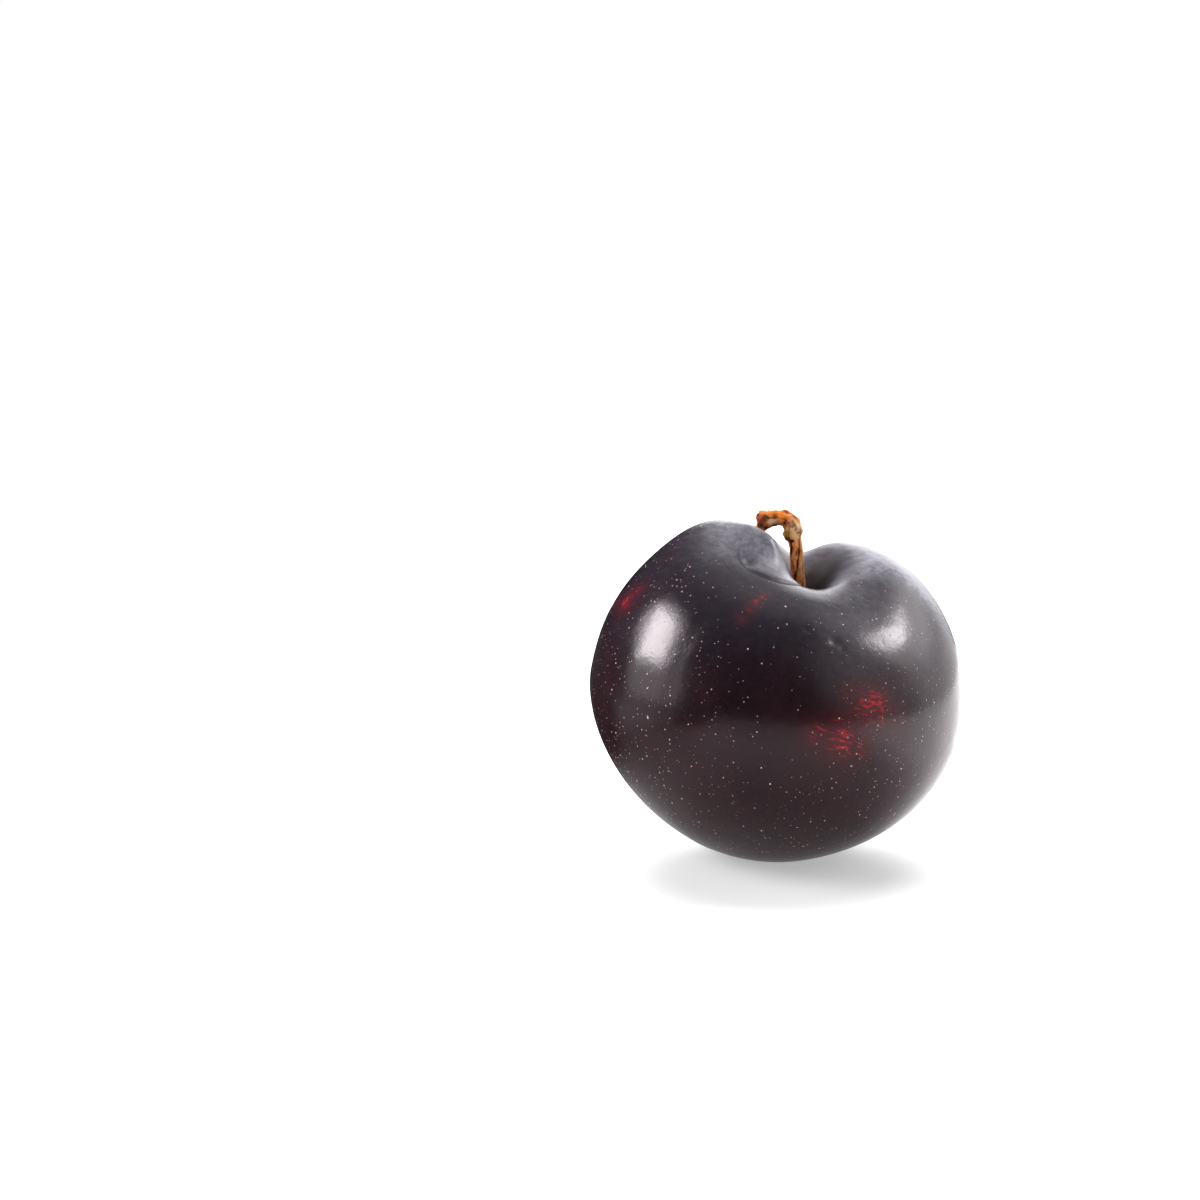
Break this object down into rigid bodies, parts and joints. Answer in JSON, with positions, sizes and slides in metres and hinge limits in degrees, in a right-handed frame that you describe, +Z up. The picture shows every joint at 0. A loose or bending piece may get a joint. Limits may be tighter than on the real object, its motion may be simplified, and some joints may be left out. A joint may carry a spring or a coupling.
{
  "type": "plum",
  "caption": "Whole dark plum with two raised shoulders, a stem cavity, a short suture crease and a dry bent stem, resting on a small flat spot.",
  "frame": {"origin": "centre of the flat spot that the fruit rests on", "axes": "+Z up from the surface it rests on, -Y towards its front, +X to the right; the fruit's own stem axis leans 10.5 degrees towards +X and 3 degrees towards -Y"},
  "size_m": [0.0622, 0.0561, 0.0586],
  "materials": {
    "plum_skin": "smooth waxy skin, purple-black with fine pale dots, red streaks and a blue-grey bloom in the cavity",
    "stem_bark": "dry ridged bark, orange-brown with pale edges and dark cracks"
  },
  "bodies": {
    "root": {"plum": "plum_skin", "stem": "stem_bark"}
  },
  "joints": []
}
